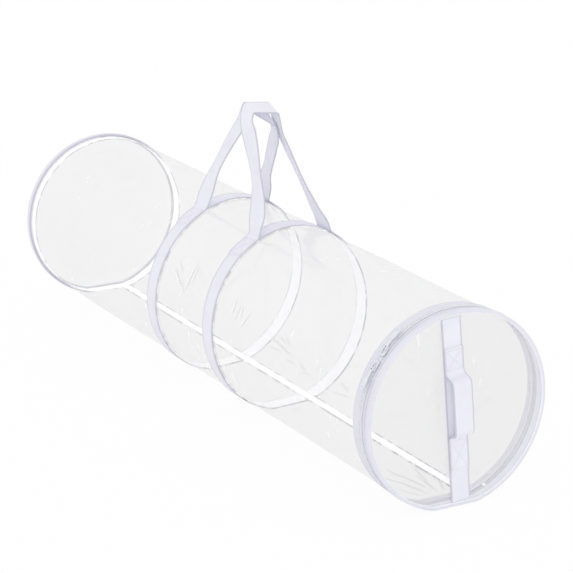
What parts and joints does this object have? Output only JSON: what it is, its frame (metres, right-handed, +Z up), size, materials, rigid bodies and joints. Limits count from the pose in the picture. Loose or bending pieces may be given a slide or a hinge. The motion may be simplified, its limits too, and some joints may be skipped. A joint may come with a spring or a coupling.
{
  "type": "gift wrap storage tube",
  "caption": "Clear film carry tube for rolls of gift wrap, lying on its side, with a zipped hinged end cap, white webbing bands, carry handles and an end grip.",
  "frame": {"origin": "on the floor under the middle of the whole object", "axes": "+X along the tube towards the zipped end cap, +Y towards the tube's back, +Z up"},
  "size_m": [0.9358, 0.231, 0.3637],
  "materials": {
    "woven_trim": "white woven tape",
    "webbing": "white woven webbing",
    "clear_film": "clear, glossy, slightly creased film",
    "zip_teeth": "white plastic teeth",
    "slider_metal": "white lacquer"
  },
  "bodies": {
    "tube": {"tube_film": "clear_film", "far_end_film": "clear_film", "far_rim_binding": "woven_trim", "seam_tape": "woven_trim", "zip_tape_tube": "woven_trim", "zip_teeth_tube": "zip_teeth", "hinge_panel_tube": "woven_trim", "band_far": "webbing", "band_near": "webbing", "handle_far_tab_front": "webbing", "handle_far_tab_back": "webbing", "handle_near_tab_front": "webbing", "handle_near_tab_back": "webbing"},
    "cap": {"zip_tape_cap": "woven_trim", "zip_teeth_cap": "zip_teeth", "cap_rim_binding": "woven_trim", "cap_film": "clear_film", "hinge_panel_cap": "woven_trim", "end_strap": "woven_trim", "end_grip": "woven_trim"},
    "slider_upper": {"zip_slider_upper": "slider_metal", "zip_slider_upper_inner_plate": "slider_metal"},
    "slider_lower": {"zip_slider_lower": "slider_metal", "zip_slider_lower_inner_plate": "slider_metal"},
    "pull_upper": {"zip_pull_upper": "slider_metal"},
    "pull_lower": {"zip_pull_lower": "slider_metal"},
    "carry_handle_far": {"handle_far": "webbing"},
    "carry_handle_near": {"handle_near": "webbing"}
  },
  "joints": [
    {"name": "cap_hinge", "type": "hinge", "parent": "tube", "child": "cap", "pos_m": [0.42755, 0, 0], "axis": [0, 1, 0], "range_deg": [0, 110]},
    {"name": "slider_upper_travel", "type": "hinge", "parent": "tube", "child": "slider_upper", "pos_m": [0.42755, 0, 0.11206], "axis": [-1, 0, 0], "range_deg": [0, 197]},
    {"name": "slider_lower_travel", "type": "hinge", "parent": "tube", "child": "slider_lower", "pos_m": [0.42755, 0, 0.11206], "axis": [1, 0, 0], "range_deg": [0, 93]},
    {"name": "pull_upper_lift", "type": "hinge", "parent": "slider_upper", "child": "pull_upper", "pos_m": [0.42755, -0.08622, 0.19107], "axis": [1, 0, 0], "range_deg": [0, 105]},
    {"name": "pull_lower_lift", "type": "hinge", "parent": "slider_lower", "child": "pull_lower", "pos_m": [0.42755, -0.09752, 0.1766], "axis": [-1, 0, 0], "range_deg": [0, 105]},
    {"name": "handle_far_swing", "type": "hinge", "parent": "tube", "child": "carry_handle_far", "pos_m": [-0.07857, -0.0395, 0.23459], "axis": [0.1456, -0.9893, 0], "range_deg": [0, 110]},
    {"name": "handle_near_swing", "type": "hinge", "parent": "tube", "child": "carry_handle_near", "pos_m": [0.06551, -0.04327, 0.23314], "axis": [-0.0948, 0.9955, 0], "range_deg": [0, 98]}
  ]
}
